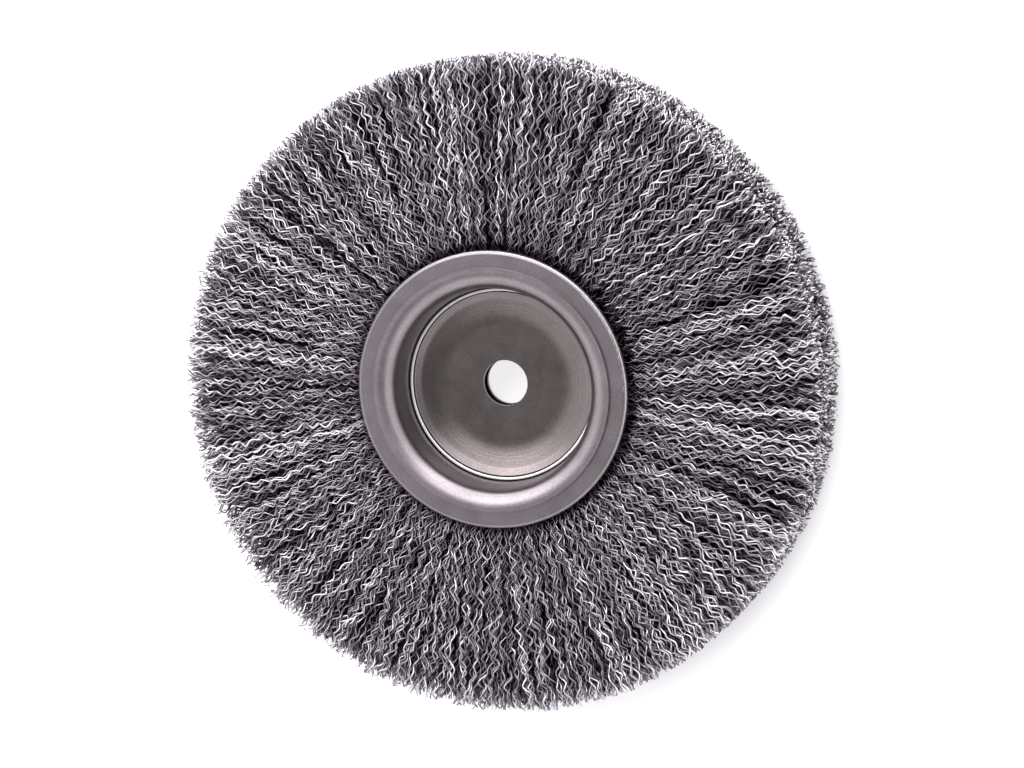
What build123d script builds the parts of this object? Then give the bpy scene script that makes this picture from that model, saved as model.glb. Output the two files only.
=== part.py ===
from build123d import *
import os

# A crimped wire wheel brush. The wheel's axis is Z and its centre is the origin. The front faces +Z,
# and the back is the front's mirror image. Lengths are in millimetres.

# Driving dimensions
wheel_radius = 100.0        # to the wire tips
hub_half_width = 18.0       # from the middle of the wheel to a face plate's front
plate_radius = 42.0
arbor_radius = 7.0          # the hole in the adapter cups
hub_bore_radius = 29.7      # the narrowest part of the hub sleeve, where an adapter cup sits
plate_thickness = 1.0
sleeve_thickness = 1.0
cup_thickness = 1.2
sector_count = 12           # each row's wires are grouped by twelfths of a turn

# Hub sleeve: its ends flare a little and roll over the face plates
lip_radius = 36.8           # outer edge of the rolled-over lip
sleeve_flare = 1.0          # how much wider the sleeve is at its shoulder than at the cup's seat
shoulder_bend = 4.6
flare_bend = 10.0

# Face plate: a turned-down edge outside, and a collar round the sleeve inside
edge_bend = 0.6
edge_depth = 0.8            # how far the turned-down edge reaches below the plate's underside
collar_bend = 3.4
collar_depth = 3.1          # how far the collar reaches below the plate's underside
fit_gap = 0.1               # free play left between pieces that are pressed or rolled together

# Adapter cup
cup_rim_height = 6.0        # from the middle of the wheel
cup_seat_length = 1.3       # the upright band at the rim, which bears on the sleeve
cup_floor_height = 2.8      # of the floor's upper face, from the middle of the wheel
cup_floor_corner = 20.4     # where the floor's and the wall's straight lines would meet
cup_floor_bend = 22.0
cup_shoulder_radius = 26.4  # where the dished wall turns steep
cup_shoulder_rise = 1.3     # above the floor
cup_wall_bend = 4.0
cup_seat_bend = 1.2
cup_rim_round = 0.5         # on both edges of the rim

# Wires and their hoops
hoop_wire_radius = 1.6
fold_thickness = 1.2        # of the folded wires, between the hoop and the sleeve
wire_inner_radius = 33.5
wire_half_width_at_plate = 16.0
wire_half_width_at_tips = 15.5
inner_row_half_width = 5.2
fold_chamfer = 2.0          # clears the bend between the face plate and its collar
hoop_gap = 0.15


def pressed_sheet(corners, bends, thickness):
    """Return a round sheet-metal piece from its section's middle line, given as (radius, height) points."""
    middle_line = FilletPolyline(*corners, radius=bends)
    return revolve(Plane.XZ * trace(middle_line, thickness), Axis.Z)


def face_plate():
    """Return the front face plate."""
    front = hub_half_width - plate_thickness / 2
    underside = hub_half_width - plate_thickness
    edge = plate_radius - plate_thickness / 2
    collar = shoulder_radius() + sleeve_thickness + fit_gap + plate_thickness / 2
    corners = [(edge, underside - edge_depth), (edge, front), (collar, front), (collar, underside - collar_depth)]
    return pressed_sheet(corners, [edge_bend, collar_bend], plate_thickness)


def shoulder_radius():
    """Return the hub sleeve's inner radius just under its shoulder."""
    return hub_bore_radius + sleeve_flare


def hub_sleeve():
    """Return the sleeve, with both ends rolled over the face plates."""
    top = hub_half_width + sleeve_thickness / 2
    seat = hub_bore_radius + sleeve_thickness / 2
    shoulder = shoulder_radius() + sleeve_thickness / 2
    front_half = [(lip_radius, top), (shoulder, top), (seat, cup_rim_height)]
    back_half = [(radius, -height) for radius, height in reversed(front_half)]
    bends = [shoulder_bend, flare_bend, flare_bend, shoulder_bend]
    return pressed_sheet(front_half + back_half, bends, sleeve_thickness)


def adapter_cup():
    """Return the front adapter cup: a dish with a flat floor, pierced by the arbor hole."""
    floor = cup_floor_height - cup_thickness / 2
    wall = hub_bore_radius - fit_gap - cup_thickness / 2
    corners = [
        (arbor_radius, floor),
        (cup_floor_corner, floor),
        (cup_shoulder_radius, floor + cup_shoulder_rise),
        (wall, cup_rim_height - cup_seat_length),
        (wall, cup_rim_height),
    ]
    bends = [cup_floor_bend, cup_wall_bend, cup_seat_bend]
    cup = pressed_sheet(corners, bends, cup_thickness)
    rim_edges = cup.edges().group_by(Axis.Z)[-1]
    return fillet(rim_edges, cup_rim_round)


def hoop_radius():
    """Return the radius of a retaining hoop's middle line."""
    return wire_inner_radius + fold_thickness + hoop_wire_radius


def row_section(row):
    """Return one row's section, in a plane through the wheel's axis."""
    if row == 0:
        width = wheel_radius - wire_inner_radius
        middle = (wheel_radius + wire_inner_radius) / 2
        return Plane.XZ * Pos(middle, 0) * Rectangle(width, 2 * inner_row_half_width)
    outline = Polyline(
        (wire_inner_radius, inner_row_half_width),
        (wheel_radius, inner_row_half_width),
        (wheel_radius, wire_half_width_at_tips),
        (plate_radius, wire_half_width_at_plate),
        (wire_inner_radius + fold_chamfer, wire_half_width_at_plate),
        (wire_inner_radius, wire_half_width_at_plate - fold_chamfer),
        close=True,
    )
    section = Plane.XZ * make_face(outline)
    return section if row > 0 else mirror(section, Plane.XY)


def row_height(row):
    """Return the height of a row's hoop."""
    return row * (inner_row_half_width + wire_half_width_at_plate) / 2


def retaining_hoop(row):
    """Return the steel hoop that one row's wires are folded over."""
    section = Plane.XZ * Pos(hoop_radius(), row_height(row)) * Circle(hoop_wire_radius)
    return revolve(section, Axis.Z)


def wire_sectors(row):
    """Return one row of wires, as a list of equal sectors. Each is a solid that stands for its wires."""
    step = 360 / sector_count
    channel_section = Plane.XZ * Pos(hoop_radius(), row_height(row)) * Circle(hoop_wire_radius + hoop_gap)
    sector = revolve(row_section(row), Axis.Z, step) - revolve(channel_section, Axis.Z)
    return [Rot(0, 0, index * step) * sector for index in range(sector_count)]


def nodes():
    """Return every piece of the wheel, by name."""
    plate = face_plate()
    cup = adapter_cup()
    pieces = {
        "front_face_plate": plate,
        "back_face_plate": mirror(plate, Plane.XY),
        "hub_sleeve": hub_sleeve(),
        "front_adapter_cup": cup,
        "back_adapter_cup": mirror(cup, Plane.XY),
    }
    for name, row in (("front", 1), ("middle", 0), ("back", -1)):
        pieces[f"{name}_hoop"] = retaining_hoop(row)
        for number, sector in enumerate(wire_sectors(row), start=1):
            pieces[f"wires_{name}_{number:02d}"] = sector
    return pieces


os.makedirs("parts", exist_ok=True)
for node, shape in nodes().items():
    export_step(shape, f"parts/{node}.step")
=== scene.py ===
from math import cos, pi, radians, sin

import bpy
import numpy as np
from mathutils import Matrix, Vector


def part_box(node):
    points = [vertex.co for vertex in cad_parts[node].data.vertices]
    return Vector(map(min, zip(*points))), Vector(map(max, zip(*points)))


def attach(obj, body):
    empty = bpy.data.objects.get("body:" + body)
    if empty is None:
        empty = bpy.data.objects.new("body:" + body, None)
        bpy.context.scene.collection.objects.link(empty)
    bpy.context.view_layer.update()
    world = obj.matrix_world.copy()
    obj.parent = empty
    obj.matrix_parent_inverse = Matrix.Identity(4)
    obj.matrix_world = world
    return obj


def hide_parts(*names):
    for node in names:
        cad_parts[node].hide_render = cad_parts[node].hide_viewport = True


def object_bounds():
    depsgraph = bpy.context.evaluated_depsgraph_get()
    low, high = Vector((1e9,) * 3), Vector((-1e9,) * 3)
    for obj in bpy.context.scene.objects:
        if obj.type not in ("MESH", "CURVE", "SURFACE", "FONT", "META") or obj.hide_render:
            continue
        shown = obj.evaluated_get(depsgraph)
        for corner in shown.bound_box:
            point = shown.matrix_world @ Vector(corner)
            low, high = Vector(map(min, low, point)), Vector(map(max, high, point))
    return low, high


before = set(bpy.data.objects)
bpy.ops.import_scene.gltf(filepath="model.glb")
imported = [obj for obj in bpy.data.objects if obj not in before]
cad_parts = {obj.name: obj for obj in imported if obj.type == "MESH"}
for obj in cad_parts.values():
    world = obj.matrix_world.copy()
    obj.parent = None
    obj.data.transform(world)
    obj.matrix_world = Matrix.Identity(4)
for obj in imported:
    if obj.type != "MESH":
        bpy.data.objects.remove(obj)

# A crimped wire wheel brush that lies flat, with its axis along Z. Lengths are in metres.

CAD_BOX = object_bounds()
MM = 0.001
SEED = 20
SEEDS_PER_ROW = 100


# ---------------------------------------------------------------- sizes from the frame

def outer_radius(node):
    """Return a round node's outer radius."""
    low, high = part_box(node)
    return (high.x - low.x) / 2


WHEEL_RADIUS = max(CAD_BOX[1].x, CAD_BOX[1].y)
HALF_WIDTH = CAD_BOX[1].z
PLATE_RADIUS = outer_radius("front_face_plate")
CUP_THICKNESS = 1.2 * MM        # of the adapter cups' steel
CUP_MOUTH = outer_radius("front_adapter_cup") - CUP_THICKNESS
ROWS = ("front", "middle", "back")
SECTORS = sum(name.startswith("wires_front_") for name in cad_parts)


# ---------------------------------------------------------------- materials

# Tints multiply a brightness: shares of red, green and blue
STEEL_TINT = (1.0, 0.985, 1.0)
PLATE_TINT = (1.0, 0.89, 0.95)
CUP_TINT = (1.0, 0.87, 0.87)

WIRE_TONES = (                  # (tone, brightness, green's share): purplish where the tone's painted shade is dark, neutral where it is painted lit
    (0.0, 0.02, 0.8),
    (0.45, 0.09, 0.84),
    (0.8, 0.31, 0.93),
    (1.0, 0.7, 0.97),
)
WIRE_BLUE = 1.03                # blue's share of a wire's brightness
WIRE_ROUGHNESS = 0.3

# Noise scales are per metre
TURNING_SCALE = 1400.0          # of the marks that run round the axis
CLOUD_SCALE = 60.0
SPECKLE_SCALE = 1500.0
GLOSS_SCALE = 260.0
GRAIN_SCALE = 2600.0
GRAIN_DEPTH = 0.2 * MM
GRAIN_STRENGTH = 0.06
NOISE_DETAIL = 4.0              # octaves of most noises
FINE_DETAIL = 2.0               # and of the two finest ones
NOISE_ROUGHNESS = 0.55

SHEET_ROUGHNESS = 0.3
CUP_ROUGHNESS = 0.22
GLOSS_RANGE = (-0.05, 0.07)     # added to a sheet's roughness, from its glossiest to its dullest spots
MOTTLE = 0.16                   # how far a sheet's brightness varies
MOTTLE_RANGE = (0.4, 0.6)       # the noise that gives the darkest and the brightest steel
EDGE_HIGHLIGHT = 0.62                # brightness of the painted highlight on an edge
HIGHLIGHT_FADE = 0.08 * MM
# Rings that carry a painted highlight: the face plates' outer edge and the adapter cups' rim
PLATE_EDGE = (PLATE_RADIUS - 0.4 * MM, PLATE_RADIUS + MM)
CUP_RIM = (CUP_MOUTH + 0.1 * MM, CUP_MOUTH + 0.9 * MM)
CUP_RIM_SCATTER = 3.0           # how much duller in gloss the cup's rim is, in gloss ranges

PLATE_BRIGHTNESS = 0.2
CUP_BRIGHTNESS = 0.14
SLEEVE_BRIGHTNESS = 0.23
HOOP_BRIGHTNESS = 0.2


def new_material(name):
    """Return a material, its node tree and its Principled shader."""
    material = bpy.data.materials.new(name)
    material.use_nodes = True
    tree = material.node_tree
    shader = tree.nodes["Principled BSDF"]
    return material, tree, shader


def noise(tree, scale, detail=NOISE_DETAIL, vector=None):
    """Add a noise texture, in object coordinates unless a vector is given, and return its value."""
    node = tree.nodes.new("ShaderNodeTexNoise")
    node.inputs["Scale"].default_value = scale
    node.inputs["Detail"].default_value = detail
    node.inputs["Roughness"].default_value = NOISE_ROUGHNESS
    if vector is None:
        vector = tree.nodes.new("ShaderNodeTexCoord").outputs["Object"]
    tree.links.new(vector, node.inputs["Vector"])
    return node.outputs["Fac"]


def ramp(tree, value, stops):
    """Add a colour ramp through (position, colour) stops, driven by value, and return its colour."""
    node = tree.nodes.new("ShaderNodeValToRGB")
    elements = node.color_ramp.elements
    while len(elements) < len(stops):
        elements.new(1.0)
    for element, (position, colour) in zip(elements, stops):
        element.position = position
        element.color = (*colour, 1.0)
    tree.links.new(value, node.inputs["Fac"])
    return node.outputs["Color"]


def multiply_add(tree, value, factor, addend=None):
    """Return value * factor + addend, where addend is another node's output."""
    node = tree.nodes.new("ShaderNodeMath")
    node.operation = "MULTIPLY_ADD"
    node.inputs[1].default_value = factor
    node.inputs[2].default_value = 0.0
    tree.links.new(value, node.inputs[0])
    if addend is not None:
        tree.links.new(addend, node.inputs[2])
    return node.outputs["Value"]


def grey(level, tint=STEEL_TINT):
    """Return a nearly neutral colour of this brightness."""
    return tuple(level * part for part in tint)


def wire_material():
    """Bright crimped steel wire, darker where its mesh's tone is lower; the tone carries painted light and
    shade.
    """
    material, tree, shader = new_material("wire_steel")
    tone = tree.nodes.new("ShaderNodeAttribute")
    tone.attribute_name = "tone"
    stops = [(at, grey(level, (1.0, green, WIRE_BLUE))) for at, level, green in WIRE_TONES]
    tree.links.new(ramp(tree, tone.outputs["Fac"], stops), shader.inputs["Base Color"])
    shader.inputs["Metallic"].default_value = 1.0
    shader.inputs["Roughness"].default_value = WIRE_ROUGHNESS
    return material


def from_axis(tree):
    """Return the distance from the wheel's axis."""
    flatten = tree.nodes.new("ShaderNodeVectorMath")
    flatten.operation = "MULTIPLY"
    flatten.inputs[1].default_value = (1.0, 1.0, 0.0)
    tree.links.new(tree.nodes.new("ShaderNodeTexCoord").outputs["Object"], flatten.inputs[0])
    length = tree.nodes.new("ShaderNodeVectorMath")
    length.operation = "LENGTH"
    tree.links.new(flatten.outputs["Vector"], length.inputs[0])
    return length.outputs["Value"]


def average(tree, *values):
    """Return the mean of some values."""
    total = None
    for value in values:
        total = multiply_add(tree, value, 1 / len(values), total)
    return total


def ring_mask(tree, start, end):
    """Return a mask that is white from one distance from the wheel's axis to another."""
    place = tree.nodes.new("ShaderNodeMapRange")
    place.inputs["From Min"].default_value = start
    place.inputs["From Max"].default_value = end
    tree.links.new(from_axis(tree), place.inputs["Value"])
    fade = HIGHLIGHT_FADE / (end - start)
    return ramp(tree, place.outputs["Result"], (
        (0.0, grey(0.0)),
        (fade, grey(1.0)),
        (1 - fade, grey(1.0)),
        (1.0, grey(0.0)),
    ))


def paint_highlight(tree, colour, highlight_mask):
    """Return colour, with a painted highlight where the mask is white."""
    mix = tree.nodes.new("ShaderNodeMix")
    mix.data_type = "RGBA"
    mix.inputs["B"].default_value = (EDGE_HIGHLIGHT, EDGE_HIGHLIGHT, EDGE_HIGHLIGHT, 1.0)
    tree.links.new(highlight_mask, mix.inputs["Factor"])
    tree.links.new(colour, mix.inputs["A"])
    return mix.outputs["Result"]


def sheet_material(name, level, tint, edge=None, edge_scatter=0.0, roughness=SHEET_ROUGHNESS):
    """Return satin pressed steel.

    It has a fine grain, faint turning marks and uneven gloss. Between the two radii of edge, if they
    are given, it has a painted highlight, and is duller in gloss by edge_scatter.
    """
    material, tree, shader = new_material(name)
    mottle = average(
        tree,
        noise(tree, CLOUD_SCALE),
        noise(tree, SPECKLE_SCALE, FINE_DETAIL),
        noise(tree, TURNING_SCALE, vector=from_axis(tree)),
    )
    darkest = grey(level * (1 - MOTTLE), tint)
    brightest = grey(level * (1 + MOTTLE), tint)
    colour = ramp(tree, mottle, tuple(zip(MOTTLE_RANGE, (darkest, brightest))))
    gloss = noise(tree, GLOSS_SCALE)
    if edge is not None:
        # Painted highlight on the edge ring
        highlight_mask = ring_mask(tree, *edge)
        colour = paint_highlight(tree, colour, highlight_mask)
        gloss = multiply_add(tree, highlight_mask, edge_scatter, gloss)
    rough = tree.nodes.new("ShaderNodeMapRange")
    rough.clamp = False
    rough.inputs["To Min"].default_value = roughness + GLOSS_RANGE[0]
    rough.inputs["To Max"].default_value = roughness + GLOSS_RANGE[1]
    tree.links.new(gloss, rough.inputs["Value"])
    bump = tree.nodes.new("ShaderNodeBump")
    bump.inputs["Strength"].default_value = GRAIN_STRENGTH
    bump.inputs["Distance"].default_value = GRAIN_DEPTH
    tree.links.new(noise(tree, GRAIN_SCALE, FINE_DETAIL), bump.inputs["Height"])
    shader.inputs["Metallic"].default_value = 1.0
    tree.links.new(colour, shader.inputs["Base Color"])
    tree.links.new(rough.outputs["Result"], shader.inputs["Roughness"])
    tree.links.new(bump.outputs["Normal"], shader.inputs["Normal"])
    return material


# ---------------------------------------------------------------- wires

# The wire and its crimp
WIRE_RADIUS = 0.29 * MM         # a little over the real wire's, because there are fewer wires
SIDES = 3                       # of a wire's section
ROOT_RADIUS = 37.0 * MM         # where the modelled wires begin, under the face plates
CRIMP_PITCH = 4.7 * MM
CRIMP_HEIGHT = 0.6 * MM         # from the wire's middle line to a crest
THIRD_HARMONIC = -1 / 9         # makes the crimp nearly a zigzag
CREST_SCALE = 0.9               # brings its crests back to about 1
POINTS_PER_CRIMP = {"front": 7, "middle": 4, "back": 5.5}

# Rows and tufts
FACE = 15.6 * MM                # height of the wires' two faces
ROW_EDGE = 5.2 * MM             # between the middle row and the outer ones
ROW_HEIGHTS = {"front": (ROW_EDGE, FACE), "middle": (-ROW_EDGE, ROW_EDGE), "back": (-FACE, -ROW_EDGE)}
TUFTS_PER_SECTOR = {"front": 120, "middle": 76, "back": 84}
WIRES_PER_TUFT = 3
GOLDEN_SHARE = 0.618            # of a row's height: how far on each tuft is from the one beside it
TUFT_WIDTH = 1.2 * MM           # spread of a tuft's wires to each side
TUFT_DEPTH = 0.9 * MM           # and along the wheel's axis
TIP_SET_BACK = 0.5 * MM         # of the longest wires, from the wheel's full radius
TIP_SPREAD = 0.9 * MM
PINCH = 0.1                     # how much the faces draw in under the hub's plates
PINCH_LENGTH = 12.0 * MM

# Standard deviations, from tuft to tuft and then from wire to wire within a tuft
LEAN = (radians(1.7), radians(1.2))         # of the whole wire, to one side
LIFT = (0.6 * MM, 0.3 * MM)                 # of the tip, along the wheel's axis
CRIMP_TURN = (radians(24), radians(12))     # of the crimp, about the wire
PITCH_SHARE = (0.07, 0.025)                 # of the crimp's pitch, as a share of it
PHASE_SPREAD = 0.5                          # of the phases, in radians: from wire to wire only
CREST_SPREAD = 0.2                          # of the crimp's height, as a share: from wire to wire only

# A wire's slow weave
WANDER_RISE = 1.3 * MM          # along the wheel's axis
WANDER_SIDE = 1.0 * MM          # and sideways
WANDER_LENGTH = 17.0 * MM
WANDER_STRETCH = (0.7, 1.3)     # range of how slowly or quickly the tufts weave
WANDER_START = 0.25             # share of the wire over which the weave grows to its full size
OVERTONE = 0.5                  # size of the weave's quicker part, as a share of the main one's
OVERTONE_RATE = 2.3
OVERTONE_PHASE = 1.7
UNEVEN = 0.3                    # how far the crimp's height varies along a wire
UNEVEN_PHASE = 3                # multiplies the sideways weave's phase
UNEVEN_STRETCH = 2.1            # and its rate

# Tones, which hold painted light and shade, from 0 painted dark to 1 painted lit
DARK_DEPTH = 7.0 * MM           # below the face at which the wires' painted shade is wholly dark
TIP_LIGHT = 10.0 * MM           # length over which the painted light at a wire's tip fades
TIP_TONES = (0.25, 1.7)         # range of the tips' painted light, before it is held to 1
SHADE_LENGTH = 2.6 * MM         # how far the wires carry painted shade beside the hub's plates
# painted shade: the tone that the wires keep right at the hub's plates
SHADE_TONE = 0.35
INNER_SHADE = 0.16               # painted shade: how much darker the wires are painted at the hub than at the rim
WIRE_TONE = (0.9, 0.12)         # mean and standard deviation of the wires' own tones

BAKE_MAP = "OFBake"             # name of the map on which each wire's finish lies, one strip per wire
STRIP_SHARE = 0.8               # of its column on the bake map that a wire's strip takes


def crimp_wave(phase):
    """Return the height of the crimp, from about -1 to 1: a zigzag with rounded crests."""
    return (np.sin(phase) + THIRD_HARMONIC * np.sin(3 * phase)) * CREST_SCALE


def wander(run, phase, stretch):
    """Return a slow, uneven weave along a wire, from about -1 to 1."""
    turn = 2 * pi * run / WANDER_LENGTH * stretch
    overtone = np.sin(OVERTONE_RATE * turn + OVERTONE_PHASE * phase)
    return (np.sin(turn + phase) + OVERTONE * overtone) / (1 + OVERTONE)


def shared(values):
    """Return each tuft's value once for each of its wires."""
    return np.repeat(values, WIRES_PER_TUFT)


def varied(rng, tufts, spreads, mean=0.0):
    """Return a value for each wire: the mean, varied from tuft to tuft and from wire to wire."""
    by_tuft, by_wire = spreads
    return shared(rng.normal(mean, by_tuft, tufts)) + rng.normal(0, by_wire, tufts * WIRES_PER_TUFT)


def nesting_phase(rng, tufts):
    """Return a phase for each wire that is nearly the same for all of a tuft's wires."""
    return shared(rng.uniform(0, 2 * pi, tufts)) + rng.normal(0, PHASE_SPREAD, tufts * WIRES_PER_TUFT)


def wire_paths(rng, row, sector):
    """Return each wire's points, its side directions and its points' distances from the axis.

    Wires lie in small tufts. A tuft's wires share their place, lean and crimp, so that they nest.
    """
    tufts = TUFTS_PER_SECTOR[row]
    count = tufts * WIRES_PER_TUFT
    low, high = ROW_HEIGHTS[row]
    place = np.arange(tufts) + rng.uniform(0, 1, tufts)
    layer = (np.arange(tufts) * GOLDEN_SHARE + rng.uniform(0, 1)) % 1
    angle = shared((sector + place / tufts) * (2 * pi / SECTORS))
    crimp_phase = nesting_phase(rng, tufts)
    lean = varied(rng, tufts, LEAN)
    lift = varied(rng, tufts, LIFT)
    turn = varied(rng, tufts, CRIMP_TURN)
    spread = rng.normal(0, TUFT_WIDTH, count)
    height = np.clip(shared(low + (high - low) * layer) + rng.normal(0, TUFT_DEPTH, count), low, high)
    reach = WHEEL_RADIUS - TIP_SET_BACK - np.abs(rng.normal(0, TIP_SPREAD, count))

    # The middle lines: straight out from the hub, with a lean and a slow weave
    rings = int((WHEEL_RADIUS - ROOT_RADIUS) / CRIMP_PITCH * POINTS_PER_CRIMP[row])
    along = np.linspace(0, 1, rings)[None, :]
    run = ROOT_RADIUS + (reach[:, None] - ROOT_RADIUS) * along
    stretch = shared(rng.uniform(*WANDER_STRETCH, tufts))[:, None]
    rise_phase = nesting_phase(rng, tufts)[:, None]
    side_phase = nesting_phase(rng, tufts)[:, None]
    loose = np.clip(along / WANDER_START, 0, 1)
    sideways = spread[:, None] + WANDER_SIDE * loose * wander(run, side_phase, stretch)
    swing = angle[:, None] + lean[:, None] * along + sideways / run
    pinch = 1 - PINCH * np.clip(1 - (run - PLATE_RADIUS) / PINCH_LENGTH, 0, 1)
    rise = height[:, None] * pinch + lift[:, None] * along
    rise = rise + WANDER_RISE * loose * wander(run, rise_phase, stretch)
    middle_line = np.stack([run * np.cos(swing), run * np.sin(swing), rise], 2)

    # The crimp, which lies in one plane through each wire
    side = np.stack([-np.sin(angle), np.cos(angle), np.zeros(count)], 1)
    out = np.stack([np.cos(angle), np.sin(angle), np.zeros(count)], 1)
    up = np.array([0.0, 0.0, 1.0])
    crimp = side * np.cos(turn)[:, None] + up * np.sin(turn)[:, None]
    pitch = CRIMP_PITCH * varied(rng, tufts, PITCH_SHARE, mean=1.0)
    uneven = 1 + UNEVEN * wander(run, UNEVEN_PHASE * side_phase, UNEVEN_STRETCH * stretch)
    crest = CRIMP_HEIGHT * uneven * rng.normal(1, CREST_SPREAD, count)[:, None]
    wave = crest * crimp_wave(2 * pi * run / pitch[:, None] + crimp_phase[:, None])
    return middle_line + wave[:, :, None] * crimp[:, None, :], np.cross(out, crimp), run


def painted_light_and_tone(rng, points, run):
    """Return each point's tone: painted light at the faces and rim, painted shade inside and by the hub."""
    count, rings, _ = points.shape
    along = np.linspace(0, 1, rings)[None, :]
    # Painted light near the faces and at the tips, painted shade deeper in the wheel
    depth = FACE - np.abs(points[:, :, 2])
    at_face = np.clip(1 - depth / DARK_DEPTH, 0, 1)
    at_tip = np.clip(1 - (WHEEL_RADIUS - run) / TIP_LIGHT, 0, 1) * rng.uniform(*TIP_TONES, count)[:, None]
    # Painted shade beside the hub's plates, and painted shade that darkens the wires towards the hub
    in_shade = np.clip((run - PLATE_RADIUS) / SHADE_LENGTH, SHADE_TONE, 1) * (1 - INNER_SHADE * (1 - along))
    tone = np.maximum(at_face * in_shade, at_tip) * rng.normal(*WIRE_TONE, count)[:, None]
    return np.clip(tone, 0, 1)


def tubes(points, normal):
    """Return the vertices, side faces and end faces of a closed tube along each wire."""
    count, rings, _ = points.shape
    tangent = np.gradient(points, axis=1)
    tangent /= np.linalg.norm(tangent, axis=2, keepdims=True)
    across_wire = np.cross(normal[:, None, :], tangent)
    across_wire /= np.linalg.norm(across_wire, axis=2, keepdims=True)
    turns = np.arange(SIDES) * 2 * pi / SIDES
    rim = (
        across_wire[:, :, None, :] * np.cos(turns)[None, None, :, None]
        + normal[:, None, None, :] * np.sin(turns)[None, None, :, None]
    )
    vertices = points[:, :, None, :] + WIRE_RADIUS * rim
    ring = np.arange(rings - 1)[:, None] * SIDES
    here = np.arange(SIDES)[None, :]
    after = (here + 1) % SIDES
    quads = np.stack([ring + here, ring + after, ring + SIDES + after, ring + SIDES + here], 2)
    caps = np.stack([np.arange(SIDES)[::-1], np.arange(SIDES) + (rings - 1) * SIDES])
    first = np.arange(count)[:, None, None] * rings * SIDES
    quads = (quads.reshape(-1, 4)[None] + first).reshape(-1, 4)
    caps = (caps[None] + first).reshape(-1, SIDES)
    return vertices.reshape(-1, 3), quads, caps


def bake_places(count, rings):
    """Return the places on the bake map of each corner of these tubes: each wire is one upright strip."""
    left = np.arange(count) / count
    low = np.arange(rings - 1) / rings
    strip = STRIP_SHARE / count
    quads = np.zeros((count, rings - 1, SIDES, 4, 2))
    quads[..., 0] = left[:, None, None, None] + strip * np.array([0, 1, 1, 0])
    quads[..., 1] = low[None, :, None, None] + np.array([0, 0, 1, 1]) / rings
    caps = np.zeros((count, 2, SIDES, 2))
    caps[..., 0] = left[:, None, None] + strip * np.array([0, 0.5, 1])
    caps[..., 1] = low[[0, -1]][:, None] + np.array([0, 1, 0]) / rings
    return np.concatenate([quads.reshape(-1, 2), caps.reshape(-1, 2)])


def mesh_of(name, vertices, faces_by_size):
    """Return a mesh of these vertices and arrays of faces, all shaded smooth."""
    mesh = bpy.data.meshes.new(name)
    loops = np.concatenate([faces.ravel() for faces in faces_by_size])
    sizes = np.concatenate([np.full(len(faces), faces.shape[1]) for faces in faces_by_size])
    starts = np.concatenate([[0], np.cumsum(sizes)[:-1]])
    mesh.vertices.add(len(vertices))
    mesh.vertices.foreach_set("co", vertices.astype(np.float32).ravel())
    mesh.loops.add(len(loops))
    mesh.loops.foreach_set("vertex_index", loops.astype(np.int32))
    mesh.polygons.add(len(sizes))
    mesh.polygons.foreach_set("loop_start", starts.astype(np.int32))
    mesh.polygons.foreach_set("use_smooth", np.ones(len(sizes), bool))
    mesh.update(calc_edges=True)
    mesh.validate()
    return mesh


def add_wires(row, sector, material):
    """Add the wires of one row over one sector, as one piece that rides on the wheel."""
    rng = np.random.default_rng(SEED + SEEDS_PER_ROW * ROWS.index(row) + sector)
    points, normal, run = wire_paths(rng, row, sector)
    tone = painted_light_and_tone(rng, points, run)
    vertices, quads, caps = tubes(points, normal)
    node = f"wires_{row}_{sector + 1:02d}"
    mesh = mesh_of(f"{node}_crimped", vertices, [quads, caps])
    bake_map = mesh.uv_layers.new(name=BAKE_MAP)
    bake_map.uv.foreach_set("vector", bake_places(*tone.shape).astype(np.float32).ravel())
    attribute = mesh.attributes.new("tone", "FLOAT", "POINT")
    attribute.data.foreach_set("value", np.repeat(tone.ravel(), SIDES).astype(np.float32))
    mesh.materials.append(material)
    piece = bpy.data.objects.new(f"{node}_crimped", mesh)
    bpy.context.scene.collection.objects.link(piece)
    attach(piece, "root")
    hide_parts(node)


# ---------------------------------------------------------------- floor, light and camera

CAMERA_TILT = radians(19.2)         # off the wheel's axis
CAMERA_TURN = radians(27.75)        # the way it leans, from +X towards +Y
CAMERA_DISTANCE = 0.9
CAMERA_LENS = 104.0                 # its focal length, in millimetres
CAMERA_CLIP = 0.01
AIM_RIGHT = 1.2 * MM                # of the wheel's centre, in the camera's view
AIM_UP = -0.75 * MM

FLOOR_SIZE = 3.0
FLOOR_WHITE = (0.8, 0.8, 0.8, 1.0)
FLOOR_ROUGHNESS = 0.9
FLOOR_LIGHT = (                     # (distance from the axis, glow): painted light, bright under the arbor hole and faint beyond the wheel, none under the wires as a painted shadow
    (14.0 * MM, 0.8),
    (18.0 * MM, 0.0),
    (94.0 * MM, 0.0),
    (106.0 * MM, 0.2),
)

# (how high a direction points, from 0 at level to 1 straight up; brightness)
TENT = ((0.0, 0.9), (0.3, 1.6), (0.6, 1.9), (0.8, 1.5), (0.92, 0.5), (1.0, 0.35))
# Each panel's direction, and its (cosine of the angle from that direction, added brightness)
PANELS = (
    ((-0.15, 0.85, 0.5), ((0.62, 0.0), (0.80, 2.6))),
    ((-0.27, 0.36, 0.89), ((0.90, 0.0), (0.97, 2.0))),
)


def grey_stops(stops):
    """Return (position, brightness) stops as (position, colour) stops."""
    return [(at, grey(level)) for at, level in stops]


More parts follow.
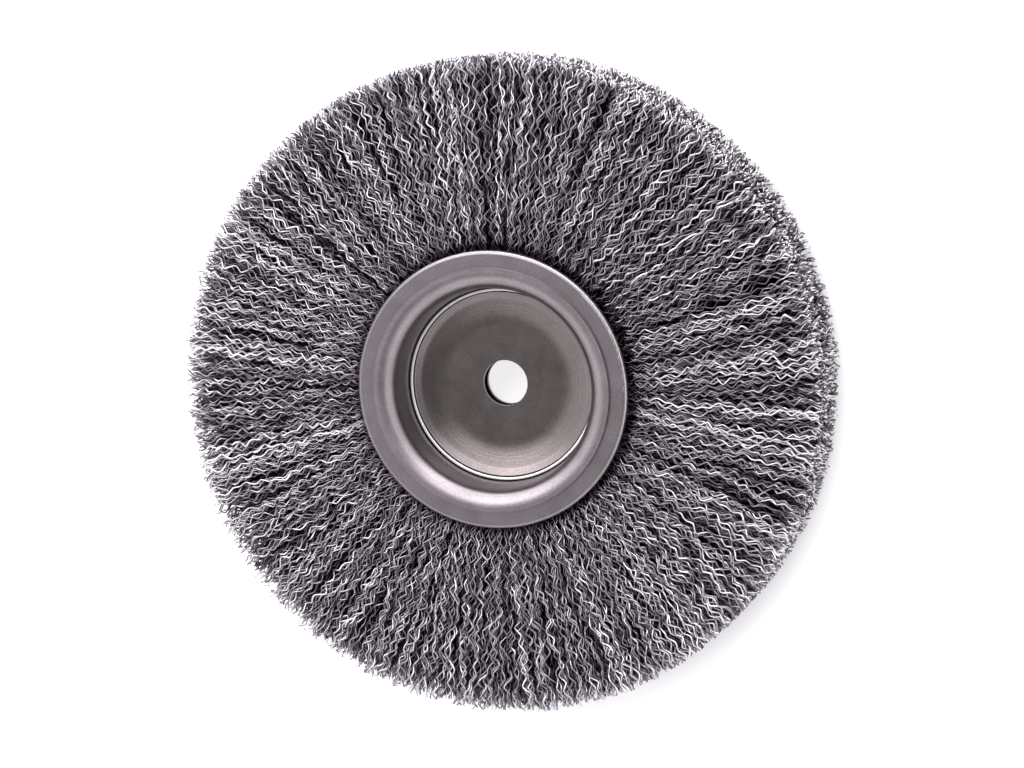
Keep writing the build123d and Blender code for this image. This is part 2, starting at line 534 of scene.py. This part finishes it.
def add_floor():
    """Add a plain white floor that the wheel lies on. Its glow is painted light round the wheel and under
    its hole.
    """
    bpy.ops.mesh.primitive_plane_add(size=FLOOR_SIZE, location=(0, 0, -HALF_WIDTH))
    floor = bpy.context.active_object
    floor.name = "floor"
    material, tree, shader = new_material("floor_white")
    shader.inputs["Base Color"].default_value = FLOOR_WHITE
    shader.inputs["Roughness"].default_value = FLOOR_ROUGHNESS
    shader.inputs["Emission Strength"].default_value = 1.0
    # Painted light: the floor glows under the arbor hole and beyond the wheel, with painted shadow under
    # the wires
    tree.links.new(ramp(tree, from_axis(tree), grey_stops(FLOOR_LIGHT)), shader.inputs["Emission Color"])
    floor.data.materials.append(material)


def add_camera():
    """Add the camera, which looks down at the wheel from a little off its axis."""
    lean = Vector((cos(CAMERA_TURN), sin(CAMERA_TURN), 0))
    back = Vector((0, 0, cos(CAMERA_TILT))) + lean * sin(CAMERA_TILT)
    slope = (lean - back * lean.dot(back)).normalized()
    crosswise = back.cross(slope)
    right = slope * cos(CAMERA_TURN) - crosswise * sin(CAMERA_TURN)
    up = slope * sin(CAMERA_TURN) + crosswise * cos(CAMERA_TURN)
    camera = bpy.data.objects.new("camera", bpy.data.cameras.new("camera"))
    bpy.context.scene.collection.objects.link(camera)
    camera.data.lens = CAMERA_LENS
    camera.data.clip_start = CAMERA_CLIP
    aim = right * AIM_RIGHT + up * AIM_UP
    turn = Matrix((right, up, back)).transposed().to_4x4()
    camera.matrix_world = Matrix.Translation(aim + back * CAMERA_DISTANCE) @ turn
    bpy.context.scene.camera = camera


def add_light_tent():
    """Light the wheel from all round, but dimly from above.

    One broad soft panel is on the wheel's far side, and a small one is nearly overhead.
    """
    world = bpy.data.worlds.new("light_tent")
    bpy.context.scene.world = world
    world.use_nodes = True
    tree = world.node_tree
    direction = tree.nodes.new("ShaderNodeTexCoord").outputs["Generated"]
    parts = tree.nodes.new("ShaderNodeSeparateXYZ")
    tree.links.new(direction, parts.inputs["Vector"])
    light = ramp(tree, parts.outputs["Z"], grey_stops(TENT))
    for centre, levels in PANELS:
        nearness = tree.nodes.new("ShaderNodeVectorMath")
        nearness.operation = "DOT_PRODUCT"
        nearness.inputs[1].default_value = Vector(centre).normalized()
        tree.links.new(direction, nearness.inputs[0])
        total = tree.nodes.new("ShaderNodeVectorMath")
        total.operation = "ADD"
        tree.links.new(light, total.inputs[0])
        tree.links.new(ramp(tree, nearness.outputs["Value"], grey_stops(levels)), total.inputs[1])
        light = total.outputs["Vector"]
    tree.links.new(light, tree.nodes["Background"].inputs["Color"])
    bpy.context.scene.view_settings.view_transform = "Standard"


# ---------------------------------------------------------------- the wheel

def finish_node(node, material):
    """Give a CAD node this material."""
    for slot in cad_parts[node].material_slots:
        slot.material = material


add_camera()
add_floor()
add_light_tent()

wire_steel = wire_material()
for row_name in ROWS:
    for sector_index in range(SECTORS):
        add_wires(row_name, sector_index, wire_steel)

finishes = {                        # by the ending of the nodes' names
    "face_plate": sheet_material("plate_steel", PLATE_BRIGHTNESS, PLATE_TINT, PLATE_EDGE),
    "adapter_cup": sheet_material(
        "cup_steel", CUP_BRIGHTNESS, CUP_TINT, CUP_RIM, CUP_RIM_SCATTER, CUP_ROUGHNESS),
    "hub_sleeve": sheet_material("hub_steel", SLEEVE_BRIGHTNESS, PLATE_TINT),
    "hoop": sheet_material("hoop_steel", HOOP_BRIGHTNESS, CUP_TINT),
}
for cad_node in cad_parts:
    for ending, finish in finishes.items():
        if cad_node.endswith(ending):
            finish_node(cad_node, finish)
